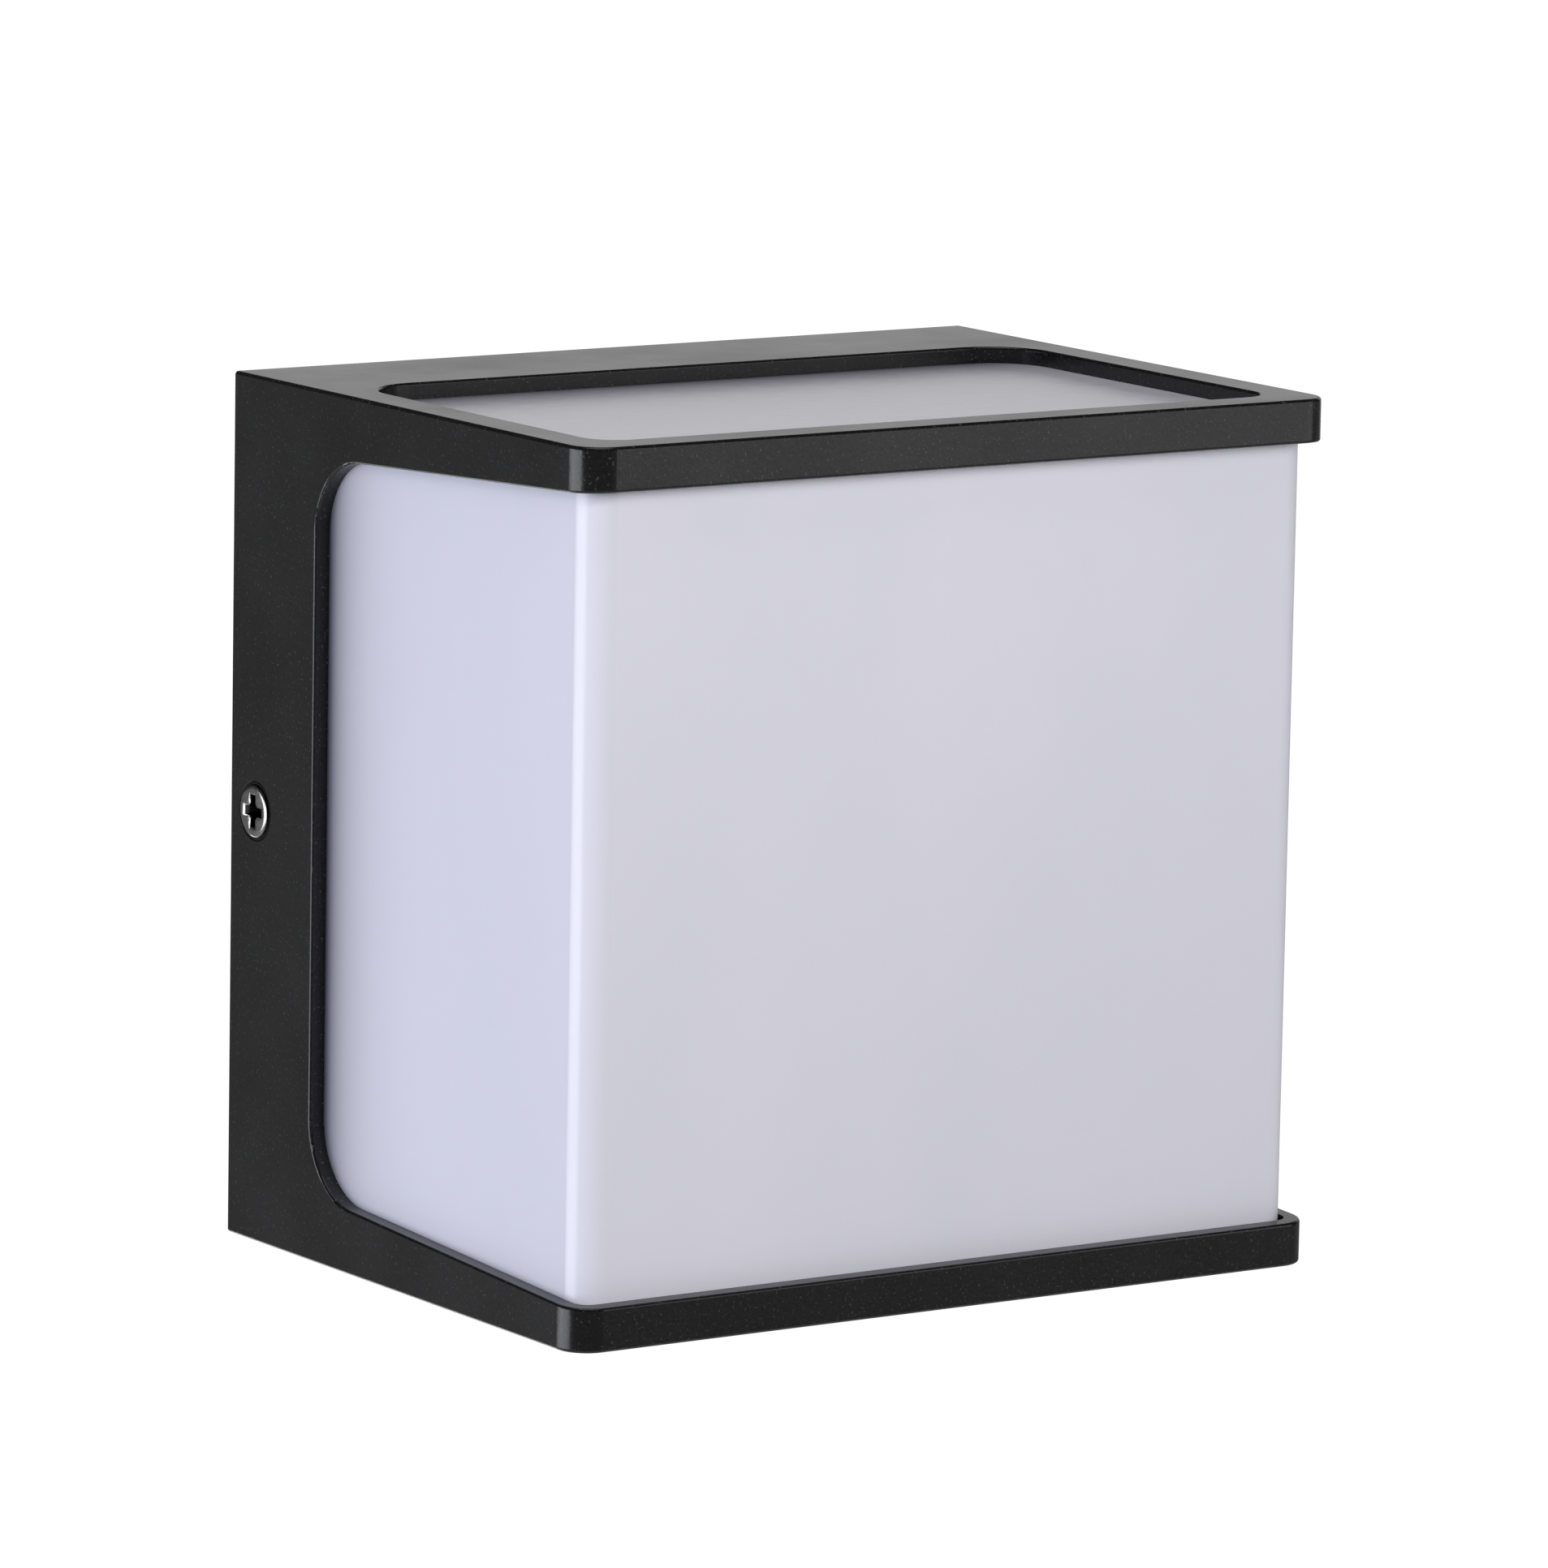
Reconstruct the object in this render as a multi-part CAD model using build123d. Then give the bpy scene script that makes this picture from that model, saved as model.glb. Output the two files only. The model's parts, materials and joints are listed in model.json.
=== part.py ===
from build123d import *
import os

# A square outdoor wall lantern: a black die-cast box housing round an opal light box, held on a
# steel wall bracket by one screw in each side.
#
# Millimetres. X runs to the right as seen from the front, the front faces -Y and Z is up.
# The origin is the middle of the lantern's back, on the wall's surface (the plane Y = 0).

# ---------------------------------------------------------------- driving dimensions
WIDTH = 120.0             # housing, left to right
HEIGHT = 120.0            # housing, top to bottom
DEPTH = 90.0              # housing, wall to front
WALL = 2.2                # die-cast wall of the housing
BAND = 6.0                # height of the top and bottom bands at the front, and rim of the windows
BAND_SLOPE = 0.0506       # how fast the side bands grow in height towards the wall
REAR_DEPTH = 22.0         # the closed part of the housing, next to the wall
OPENING_RADIUS = 11.0     # rear corners of the side openings
CORNER_RADIUS = 4.5       # upright front corners of the housing
EDGE_RADIUS = 0.5         # small rounding of the casting's outer edges
RIM_RADIUS = 0.4          # and of the rims of its openings

FIT_GAP = 0.1             # clearance of flat neighbours
OPAL_WALL = 2.0           # wall of the diffuser
OPAL_REAR = 21.0          # the diffuser's rear rim, measured from the wall
OPAL_RADIUS = 4.0         # its upright front corners

TRAY_FRONT = 19.5         # front face of the rear tray, measured from the wall
TRAY_PLATE = 2.0
TRAY_LIP = 3.5            # height of the tray's rearward rim
LUG_THICK = 6.0           # the tray's threaded lugs
LUG_HALF_HEIGHT = 7.0
LUG_END = 3.2             # their rear ends, measured from the wall
BRACKET_BACK = 1.0        # the foam gasket fills this gap behind the bracket
BRACKET_PLATE = 1.5

SIDE_SCREW_Y = -6.7       # axis of the two side screws
M4_RADIUS = 2.0
M4_LENGTH = 12.0
M3_RADIUS = 1.5
COUNTERSINK = 4.2         # radius at the housing's face; the cones have a 90 degree angle
HEAD_CONE = 3.7           # radius of the side screws' heads
SEAL_CONES = (4.1, 3.8)   # the seal rings between the two
HOLE_RADIUS = 2.3         # clearance hole for M4

SLOT_SPACING = 60.0       # wall-screw slots
SLOT_LENGTH = 12.0
SLOT_RADIUS = 2.3
CABLE_HOLE = 9.0          # radius of the hole in the bracket
CABLE_RADIUS = 5.5        # bore of the grommet in it

COVER_HALF = 42.0         # the gear cover is a square hat
COVER_FRONT = 43.5        # its front face, measured from the wall
SHEET = 1.0
BOARD_HALF = 38.0         # the LED board is square
BOARD_THICK = 1.6
LED_PITCH = 14.0
LED_COUNT = 5             # per row and column, less the middle one
WIRE_HOLE = 3.6           # radius of the middle hole for the LED leads

LEAD_RADIUS = 0.9         # insulated single wires
POLE_PITCH = 10.0         # terminal block

# ---------------------------------------------------------------- worked-out places
HALF_X = WIDTH / 2
HALF_Z = HEIGHT / 2
INNER_X = HALF_X - WALL
INNER_Z = HALF_Z - WALL
OPAL_HALF = INNER_X - FIT_GAP
OPAL_FRONT = DEPTH - WALL - FIT_GAP
TRAY_REAR = TRAY_FRONT - TRAY_PLATE
TRAY_HALF = INNER_X - 0.6
POST_AT = OPAL_HALF - 7.5                 # corner screw posts of the diffuser
BRACKET_FRONT = BRACKET_BACK + BRACKET_PLATE
EAR_OUTER = INNER_X - 0.4
EAR_INNER = EAR_OUTER - BRACKET_PLATE
LUG_OUTER = EAR_INNER - 0.3
COVER_SCREW_AT = COVER_HALF + 3.5
BOARD_SCREW_AT = BOARD_HALF - 3.5
BOARD_FRONT = COVER_FRONT + BOARD_THICK

DRIVER_Z = -21.0                          # middle of the driver
DRIVER_HALF_X = 30.0
DRIVER_HALF_Z = 16.0
DRIVER_FRONT = 38.0
DRIVER_WALL = 1.5
DRIVER_SCREW_X = 35.0
DRIVER_BOARD_REAR = 24.0
DRIVER_BOARD_FRONT = DRIVER_BOARD_REAR + BOARD_THICK
DRIVER_LEAD_Y = -(DRIVER_BOARD_FRONT + LEAD_RADIUS + 0.1)
DRIVER_LEAD_Z = (DRIVER_Z + 2.0, DRIVER_Z - 2.0)

FRONT_SCREWS = ([(x * COVER_SCREW_AT, 0) for x in (-1, 1)] + [(0, z * COVER_SCREW_AT) for z in (-1, 1)]
                + [(x * DRIVER_SCREW_X, DRIVER_Z) for x in (-1, 1)])
BLIND_BOSS_REAR = TRAY_REAR - 3.2         # bosses behind the tray, for the screws from the front
PAD_REAR = TRAY_REAR - 2.0                # raised pads behind it, for the screws from the rear
TERMINAL_Z = (20.0, 36.0)
TERMINAL_REAR = 5.0
TERMINAL_LEAD_Y = -11.0
TERMINAL_FIX_X = (-POLE_PITCH / 2, POLE_PITCH / 2)
POLES = (-POLE_PITCH, 0.0, POLE_PITCH)
CLAMP_HALF = 2.4                          # the brass clamps are square tubes
CLAMP_CHANNEL = CLAMP_HALF + FIT_GAP
CLAMP_SCREW_Z = (TERMINAL_Z[0] + 4.0, TERMINAL_Z[1] - 4.0)
EARTH_AT = (28.0, 4.0)
EARTH_BARREL = (18.0, 24.5)               # the ring terminal's barrel, along X
EARTH_BARREL_RADIUS = 1.5
GROMMET_AT = (-35.5, 8.0)                 # where the mains leads pass through the tray
GROMMET_HOLE = 3.4
GROMMET_LEADS = ((-34.0, 9.5), (-37.0, 6.5))
BOARD_LEADS = ((1.5, 1.5), (-1.5, -1.5))  # the LED leads, through the middle of the board

SIDES = ((-1, "left"), (1, "right"))
CORNERS = [(x, z) for x in (-1, 1) for z in (-1, 1)]
POSTS = [(x * POST_AT, z * POST_AT) for x, z in CORNERS]
BOARD_SCREWS = [(x * BOARD_SCREW_AT, z * BOARD_SCREW_AT) for x, z in CORNERS]


# ---------------------------------------------------------------- building blocks
def block(x, y, z):
    """A box from its three (low, high) spans."""
    middle = [(low + high) / 2 for low, high in (x, y, z)]
    size = [high - low for low, high in (x, y, z)]
    return Pos(*middle) * Box(*size)


def rod(radius, start, end):
    """A straight cylinder between two points."""
    axis = Vector(*end) - Vector(*start)
    place = Plane(origin=start, z_dir=axis)
    return place * Cylinder(radius, axis.length, align=(Align.CENTER, Align.CENTER, Align.MIN))


def slab(sketch, rear, front, at=(0, 0)):
    """A sketch seen from the front, made solid between two depths measured from the wall."""
    return extrude(Plane.XZ.offset(rear) * Pos(*at) * sketch, front - rear)


def pin(radius, at, rear, front):
    """A round bar along the depth, at an (x, z) place."""
    return rod(radius, (at[0], -rear, at[1]), (at[0], -front, at[1]))


def upright_edges(part, y):
    """The edges along Z that lie at one depth."""
    return [edge for edge in part.edges().filter_by(Axis.Z) if abs(edge.center().Y - y) < 0.01]


def turned(profile):
    """A body of revolution from (radius, height) points, with its axis along Z."""
    outline = make_face(Polyline(*[(radius, 0, height) for radius, height in profile], close=True))
    return revolve(outline, Axis.Z)


def pan_head_screw(radius, length, head_radius, head_height):
    """A pan-head screw with a cross recess. Its head's underside is at Z = 0 and it points down."""
    head = Cylinder(head_radius, head_height, align=(Align.CENTER, Align.CENTER, Align.MIN))
    head = fillet(head.edges().group_by(Axis.Z)[-1], head_height * 0.45)
    shank = Cylinder(radius, length, align=(Align.CENTER, Align.CENTER, Align.MAX))
    shank = chamfer(shank.edges().group_by(Axis.Z)[0], radius * 0.4)
    recess = cross_recess(head_radius * 1.1, head_height * 0.7)
    return head + shank - Pos(0, 0, head_height) * recess


def cross_recess(span, depth):
    """The cross of a screwdriver slot, going down from Z = 0 and narrowing on its way."""
    blade = span * 0.28
    cross = Part()
    for length, width in ((span, blade), (blade, span)):
        mouth = Rectangle(length, width)
        end = Pos(0, 0, -depth) * scale(mouth, by=0.5)
        cross += loft([mouth, end])
    return cross


def set_screws(places, screw, depth, facing):
    """Copies of a screw, heads facing the front (-1) or the wall (+1), undersides at one depth."""
    turn = Rot(90, 0, 0) if facing < 0 else Rot(-90, 0, 0)
    return Compound([Pos(x, -depth, z) * turn * screw for x, z in places])


def lead(points, radii):
    """One insulated wire along straight runs joined by arcs."""
    path = FilletPolyline(*points, radius=radii)
    start = Plane(origin=path @ 0, z_dir=path % 0)
    return sweep(start * Circle(LEAD_RADIUS), path=path)


# ---------------------------------------------------------------- housing and diffuser
def band_half_gap(depth):
    """Half the height of the side openings, at one depth from the wall."""
    return HALF_Z - BAND - BAND_SLOPE * (DEPTH - depth)


def side_screw_place(side):
    """The outer end of a side screw's axis, with Z of the local frame pointing out of the lantern."""
    return Plane(origin=(side * HALF_X, SIDE_SCREW_Y, 0), x_dir=(0, 1, 0), z_dir=(side, 0, 0))


def make_housing():
    shell = block((-HALF_X, HALF_X), (-DEPTH, 0), (-HALF_Z, HALF_Z))
    shell = fillet(upright_edges(shell, -DEPTH), CORNER_RADIUS)
    shell = fillet(shell.edges(), EDGE_RADIUS)
    cavity = block((-INNER_X, INNER_X), (-DEPTH + WALL, 1), (-INNER_Z, INNER_Z))
    shell -= fillet(upright_edges(cavity, -DEPTH + WALL), CORNER_RADIUS - WALL)
    shell -= side_openings()
    shell -= window()
    shell = fillet(opening_rims(shell), RIM_RADIUS)
    cone = turned([(0, 1), (COUNTERSINK + 1, 1), (COUNTERSINK, 0), (HOLE_RADIUS, HOLE_RADIUS - COUNTERSINK),
                   (HOLE_RADIUS, -WALL - 1), (0, -WALL - 1)])
    for side, _ in SIDES:
        shell -= side_screw_place(side) * cone
    return shell


def opening_rims(shell):
    """The outer rims of the side openings and of the two windows."""
    rims = []
    for edge in shell.edges():
        at = edge.center()
        around_sides = abs(at.Z) < HALF_Z - BAND + 1 and (abs(at.X) > INNER_X + 0.5 or at.Y < -DEPTH + 0.5)
        around_window = abs(at.Z) > HALF_Z - 0.01 and abs(at.X) < HALF_X - BAND + 0.5
        around_window = around_window and -DEPTH + BAND - 0.5 < at.Y < -REAR_DEPTH + 0.5
        if (around_sides and at.Y < -1) or around_window:
            rims.append(edge)
    return rims


def side_openings():
    """The C-shaped opening through both sides and the front, with rounded rear corners."""
    beyond = DEPTH + 10
    rear = band_half_gap(REAR_DEPTH)
    front = band_half_gap(beyond)
    outline = make_face(Polyline((-REAR_DEPTH, rear), (-beyond, front), (-beyond, -front),
                                 (-REAR_DEPTH, -rear), close=True))
    rear_corners = outline.vertices().group_by(Axis.X)[-1]
    outline = fillet(rear_corners, OPENING_RADIUS)
    return extrude(Plane.YZ * outline, WIDTH, both=True)


def window():
    """The windows in the top and the bottom, cut in one go."""
    rear_radius = 8.5
    front_radius = 4.5
    half = HALF_X - BAND
    outline = Rectangle(2 * half, DEPTH - BAND - REAR_DEPTH)
    outline = Pos(0, -(DEPTH - BAND + REAR_DEPTH) / 2) * outline
    outline = fillet(outline.vertices().group_by(Axis.Y)[-1], rear_radius)
    outline = fillet(outline.vertices().group_by(Axis.Y)[0], front_radius)
    return extrude(outline, HEIGHT, both=True)


def make_diffuser():
    box = block((-OPAL_HALF, OPAL_HALF), (-OPAL_FRONT, -OPAL_REAR), (-OPAL_HALF, OPAL_HALF))
    box = fillet(upright_edges(box, -OPAL_FRONT), OPAL_RADIUS)
    inner = OPAL_HALF - OPAL_WALL
    inner_front = -OPAL_FRONT + OPAL_WALL
    cavity = block((-inner, inner), (inner_front, 0), (-inner, inner))
    box -= fillet(upright_edges(cavity, inner_front), OPAL_RADIUS - OPAL_WALL)
    post_depth = 14.0
    post_span = (POST_AT - 4.5, inner - 0.5)
    for x, z in CORNERS:
        spans = [sorted((sign * post_span[0], sign * post_span[1])) for sign in (x, z)]
        post = block(spans[0], (-OPAL_REAR - post_depth, -TRAY_FRONT), spans[1])
        web = block(sorted((x * post_span[0], x * (inner + 0.5))), (-OPAL_REAR - post_depth, -OPAL_REAR),
                    sorted((z * post_span[0], z * (inner + 0.5))))
        box += post + web
    for place in POSTS:
        box -= pin(M3_RADIUS, place, 0, OPAL_REAR + post_depth - 2)
    return box


def make_diffuser_gasket():
    outer = Rectangle(2 * OPAL_HALF - 0.6, 2 * OPAL_HALF - 0.6)
    inner = Rectangle(2 * (OPAL_HALF - OPAL_WALL) - 0.6, 2 * (OPAL_HALF - OPAL_WALL) - 0.6)
    return slab(outer - inner, TRAY_FRONT, OPAL_REAR)


# ---------------------------------------------------------------- rear tray
def make_rear_tray():
    plate = slab(RectangleRounded(2 * TRAY_HALF, 2 * TRAY_HALF, 2.5), TRAY_REAR, TRAY_FRONT)
    rim = RectangleRounded(2 * TRAY_HALF, 2 * TRAY_HALF, 2.5)
    rim -= RectangleRounded(2 * TRAY_HALF - 3, 2 * TRAY_HALF - 3, 1.0)
    tray = plate + slab(rim, TRAY_REAR - TRAY_LIP, TRAY_REAR)
    for side, _ in SIDES:
        tray += tray_lug(side)
    for place in FRONT_SCREWS:
        tray += pin(3.5, place, BLIND_BOSS_REAR, TRAY_REAR)
        tray -= pin(M3_RADIUS + FIT_GAP, place, BLIND_BOSS_REAR + 1, TRAY_FRONT + 1)
    terminal_middle = sum(TERMINAL_Z) / 2
    tray += slab(Rectangle(34, 8), PAD_REAR, TRAY_REAR, at=(0, terminal_middle))
    tray += pin(5.0, EARTH_AT, PAD_REAR, TRAY_REAR)
    for place in [(x, terminal_middle) for x in TERMINAL_FIX_X] + [EARTH_AT]:
        tray -= pin(M3_RADIUS * 0.8 + FIT_GAP, place, PAD_REAR - 1, TRAY_FRONT - 0.6)
    for place in POSTS:
        tray -= pin(M3_RADIUS + 0.2, place, TRAY_REAR - 1, TRAY_FRONT + 1)
    return tray - pin(GROMMET_HOLE, GROMMET_AT, TRAY_REAR - 1, TRAY_FRONT + 1)


def tray_lug(side):
    """A lug that stands back from the tray and takes a side screw in its thread."""
    spans = sorted((side * LUG_OUTER, side * (LUG_OUTER - LUG_THICK)))
    lug = block(spans, (-TRAY_REAR, -LUG_END), (-LUG_HALF_HEIGHT, LUG_HALF_HEIGHT))
    rear_edges = lug.edges().filter_by(Axis.X).group_by(Axis.Y)[-1]
    lug = fillet(rear_edges, 3.0)
    thread = rod(M4_RADIUS + 0.05, (side * 40, SIDE_SCREW_Y, 0), (side * HALF_X, SIDE_SCREW_Y, 0))
    return lug - thread


def make_tray_screws():
    screw = pan_head_screw(M3_RADIUS - FIT_GAP, 14.0, 2.9, 2.2)
    return set_screws(POSTS, screw, TRAY_REAR, facing=1)


def make_lead_grommet():
    flange = 4.6
    profile = [(0, -1.2), (flange, -1.2), (flange, 0), (GROMMET_HOLE - FIT_GAP, 0),
               (GROMMET_HOLE - FIT_GAP, TRAY_PLATE), (flange, TRAY_PLATE), (flange, TRAY_PLATE + 1.2),
               (0, TRAY_PLATE + 1.2)]
    grommet = Pos(GROMMET_AT[0], -TRAY_REAR, GROMMET_AT[1]) * Rot(90, 0, 0) * turned(profile)
    for place in GROMMET_LEADS:
        grommet -= pin(LEAD_RADIUS + 0.05, place, TRAY_REAR - 2, TRAY_FRONT + 2)
    return grommet


# ---------------------------------------------------------------- wall side
def make_wall_bracket():
    plate = slab(RectangleRounded(100, 52, 4), BRACKET_BACK, BRACKET_FRONT)
    ear_front = -13.0
    ear_half_height = 10.0
    strap = block((-EAR_OUTER, EAR_OUTER), (ear_front, -BRACKET_BACK), (-ear_half_height, ear_half_height))
    strap = fillet(upright_edges(strap, -BRACKET_BACK), 2.0)
    inside = block((-EAR_INNER, EAR_INNER), (ear_front - 1, -BRACKET_FRONT),
                   (-ear_half_height - 1, ear_half_height + 1))
    strap -= fillet(upright_edges(inside, -BRACKET_FRONT), 0.5)
    corners = strap.edges().filter_by(Axis.X).group_by(Axis.Y)[0]
    bracket = plate + fillet(corners, 2.5)
    for side, _ in SIDES:
        bracket -= ear_notch(side, ear_front)
        bracket -= slab(SlotOverall(SLOT_LENGTH, 2 * SLOT_RADIUS), 0, BRACKET_FRONT + 1,
                        at=(side * SLOT_SPACING / 2, 0))
    return bracket - pin(CABLE_HOLE, (0, 0), 0, BRACKET_FRONT + 1)


def ear_notch(side, ear_front):
    """The open-ended notch that lets a loosened side screw slide out forwards."""
    span = sorted((side * (EAR_INNER - 1), side * (EAR_OUTER + 1)))
    notch = block(span, (ear_front - 1, SIDE_SCREW_Y), (-HOLE_RADIUS, HOLE_RADIUS))
    return notch + rod(HOLE_RADIUS, (span[0], SIDE_SCREW_Y, 0), (span[1], SIDE_SCREW_Y, 0))


def make_wall_gasket():
    ring = RectangleRounded(98, 50, 4) - RectangleRounded(86, 38, 2)
    return slab(ring, 0, BRACKET_BACK)


def make_cable_grommet():
    flange = 11.0
    rear = BRACKET_BACK - FIT_GAP
    groove = CABLE_HOLE - FIT_GAP
    profile = [(CABLE_RADIUS, FIT_GAP), (flange, FIT_GAP), (flange, rear), (groove, rear),
               (groove, BRACKET_FRONT + FIT_GAP), (flange, BRACKET_FRONT + FIT_GAP),
               (flange - 1.0, BRACKET_FRONT + 1.2), (CABLE_RADIUS, BRACKET_FRONT + 1.2)]
    return Rot(90, 0, 0) * turned(profile)


# ---------------------------------------------------------------- side screws
def make_side_screw(side):
    """An M4 raised countersunk screw with a cross recess, its thread drawn as a plain shank."""
    tip = -M4_LENGTH
    dome = 0.8
    profile = [(0, dome), (HEAD_CONE, 0), (M4_RADIUS, M4_RADIUS - HEAD_CONE),
               (M4_RADIUS, tip + 0.6), (M4_RADIUS - 0.6, tip), (0, tip)]
    corners = [(radius, 0, height) for radius, height in profile]
    edges = [Line(here, there) for here, there in zip(corners[1:], corners[2:] + corners[:1])]
    crown = ThreePointArc((0, 0, dome), (HEAD_CONE * 0.52, 0, dome * 0.74), (HEAD_CONE, 0, 0))
    screw = revolve(make_face([crown] + edges), Axis.Z)
    screw -= Pos(0, 0, dome + 0.1) * cross_recess(5.2, 2.2)
    return side_screw_place(side) * screw


def make_screw_seal(side):
    """The rubber ring between a side screw's cone and its countersink."""
    outer, inner = SEAL_CONES
    top = -0.05
    bottom = -1.5
    ring = turned([(inner + top, top), (outer + top, top),
                   (outer + bottom, bottom), (inner + bottom, bottom)])
    return side_screw_place(side) * ring


# ---------------------------------------------------------------- light engine
def make_gear_cover():
    side = 2 * COVER_HALF
    hat = slab(RectangleRounded(side, side, 4), TRAY_FRONT, COVER_FRONT)
    inside = RectangleRounded(side - 2 * SHEET, side - 2 * SHEET, 3)
    hat -= slab(inside, TRAY_FRONT - 1, COVER_FRONT - SHEET)
    hat = fillet(hat.edges().group_by(Axis.Y)[0], 0.8)
    tab_reach = 7.0
    tab = RectangleRounded(2 * tab_reach, 16, 3)
    for x, z in ((1, 0), (-1, 0), (0, 1), (0, -1)):
        outline = Rot(0, 0, 90 * abs(z)) * tab
        foot = slab(outline, TRAY_FRONT, TRAY_FRONT + SHEET, at=(x * COVER_HALF, z * COVER_HALF))
        hat += foot - slab(inside, TRAY_FRONT - 1, COVER_FRONT)
        hat -= pin(M3_RADIUS + 0.2, (x * COVER_SCREW_AT, z * COVER_SCREW_AT), 0, TRAY_FRONT + SHEET + 1)
    for place in BOARD_SCREWS:
        hat -= pin(M3_RADIUS + FIT_GAP, place, COVER_FRONT - 3, COVER_FRONT + 1)
    return hat - pin(WIRE_HOLE, (0, 0), COVER_FRONT - 3, COVER_FRONT + 1)


def make_cover_screws():
    screw = pan_head_screw(M3_RADIUS, 5.0, 2.75, 2.0)
    return set_screws(FRONT_SCREWS[:4], screw, TRAY_FRONT + SHEET, facing=-1)


def make_led_board():
    side = 2 * BOARD_HALF
    board = slab(RectangleRounded(side, side, 2), COVER_FRONT, BOARD_FRONT)
    for place in BOARD_SCREWS:
        board -= pin(M3_RADIUS + 0.2, place, COVER_FRONT - 1, BOARD_FRONT + 1)
    return board - pin(WIRE_HOLE, (0, 0), COVER_FRONT - 1, BOARD_FRONT + 1)


def led_places():
    """The grid of LEDs, without the middle place, where the connector is."""
    steps = [LED_PITCH * (index - (LED_COUNT - 1) / 2) for index in range(LED_COUNT)]
    return [(x, z) for x in steps for z in steps if (x, z) != (0, 0)]


def make_led_chips():
    chip = slab(Rectangle(3.5, 2.8), BOARD_FRONT, BOARD_FRONT + 0.8)
    chip = chamfer(chip.edges().group_by(Axis.Y)[0], 0.2)
    return Compound([Pos(x, 0, z) * chip for x, z in led_places()])


def make_board_screws():
    screw = pan_head_screw(M3_RADIUS, 4.5, 2.75, 2.0)
    return set_screws(BOARD_SCREWS, screw, BOARD_FRONT, facing=-1)


def make_led_connector():
    body = slab(RectangleRounded(11, 9, 0.8), BOARD_FRONT, BOARD_FRONT + 4.5)
    body = chamfer(body.edges().group_by(Axis.Y)[0], 0.5)
    for place in BOARD_LEADS:
        body -= pin(LEAD_RADIUS + 0.05, place, BOARD_FRONT - 1, BOARD_FRONT + 3)
    return body


# ---------------------------------------------------------------- driver
def make_driver_case():
    width = 2 * DRIVER_HALF_X
    height = 2 * DRIVER_HALF_Z
    at = (0, DRIVER_Z)
    floor = TRAY_FRONT + DRIVER_WALL
    rim = DRIVER_FRONT - DRIVER_WALL
    case = slab(RectangleRounded(width, height, 2), TRAY_FRONT, rim, at)
    case -= slab(RectangleRounded(width - 2 * DRIVER_WALL, height - 2 * DRIVER_WALL, 1), floor, rim + 1, at)
    for x, z in CORNERS:
        corner = (x * (DRIVER_HALF_X - 3.5), DRIVER_Z + z * (DRIVER_HALF_Z - 3.5))
        case += slab(Rectangle(4.2, 4.2), floor - 0.5, DRIVER_BOARD_REAR, corner)
    for x in (-1, 1):
        foot = slab(RectangleRounded(12, 10, 2), TRAY_FRONT, floor, (x * (DRIVER_HALF_X + 3.5), DRIVER_Z))
        case += foot
        case -= pin(M3_RADIUS + 0.2, (x * DRIVER_SCREW_X, DRIVER_Z), TRAY_FRONT - 1, floor + 1)
        for z in DRIVER_LEAD_Z:
            case -= rod(LEAD_RADIUS + 0.1, (x * 25, DRIVER_LEAD_Y, z), (x * 32, DRIVER_LEAD_Y, z))
    return case


def make_driver_lid():
    plate = slab(RectangleRounded(2 * DRIVER_HALF_X, 2 * DRIVER_HALF_Z, 2),
                 DRIVER_FRONT - DRIVER_WALL, DRIVER_FRONT, (0, DRIVER_Z))
    lid = fillet(plate.edges().group_by(Axis.Y)[0], 0.6)
    inset = DRIVER_WALL + 0.15
    spigot = RectangleRounded(2 * (DRIVER_HALF_X - inset), 2 * (DRIVER_HALF_Z - inset), 0.85)
    spigot -= Rectangle(2 * (DRIVER_HALF_X - inset) - 2.4, 2 * (DRIVER_HALF_Z - inset) - 2.4)
    return lid + slab(spigot, DRIVER_FRONT - DRIVER_WALL - 1.5, DRIVER_FRONT - DRIVER_WALL, (0, DRIVER_Z))


def make_driver_board():
    inset = DRIVER_WALL + 0.4
    outline = Rectangle(2 * (DRIVER_HALF_X - inset), 2 * (DRIVER_HALF_Z - inset))
    return slab(outline, DRIVER_BOARD_REAR, DRIVER_BOARD_FRONT, (0, DRIVER_Z))


def make_driver_transformer():
    at = (3.0, DRIVER_Z)
    core = slab(Rectangle(16, 13), DRIVER_BOARD_FRONT, DRIVER_BOARD_FRONT + 9.5, at)
    winding = slab(RectangleRounded(11, 17, 3), DRIVER_BOARD_FRONT + 1.5, DRIVER_BOARD_FRONT + 8, at)
    return core + winding


def make_driver_capacitors():
    radius = 4.0
    length = 11.0
    y = -(DRIVER_BOARD_FRONT + radius + FIT_GAP)
    cans = []
    for x, z in ((-23, DRIVER_Z - 8.5), (14, DRIVER_Z + 8.5)):
        can = rod(radius, (x, y, z), (x + length, y, z))
        cans.append(fillet(can.edges(), 0.6))
    return Compound(cans)


def make_driver_choke():
    at = (19.0, DRIVER_Z - 8.5)
    base = DRIVER_BOARD_FRONT
    flanges = pin(4.0, at, base, base + 8) - pin(4.5, at, base + 1.5, base + 6.5)
    return flanges + pin(2.9, at, base, base + 8)


def make_driver_screws():
    screw = pan_head_screw(M3_RADIUS, 4.5, 2.75, 2.0)
    return set_screws(FRONT_SCREWS[4:], screw, TRAY_FRONT + DRIVER_WALL, facing=-1)


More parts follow.
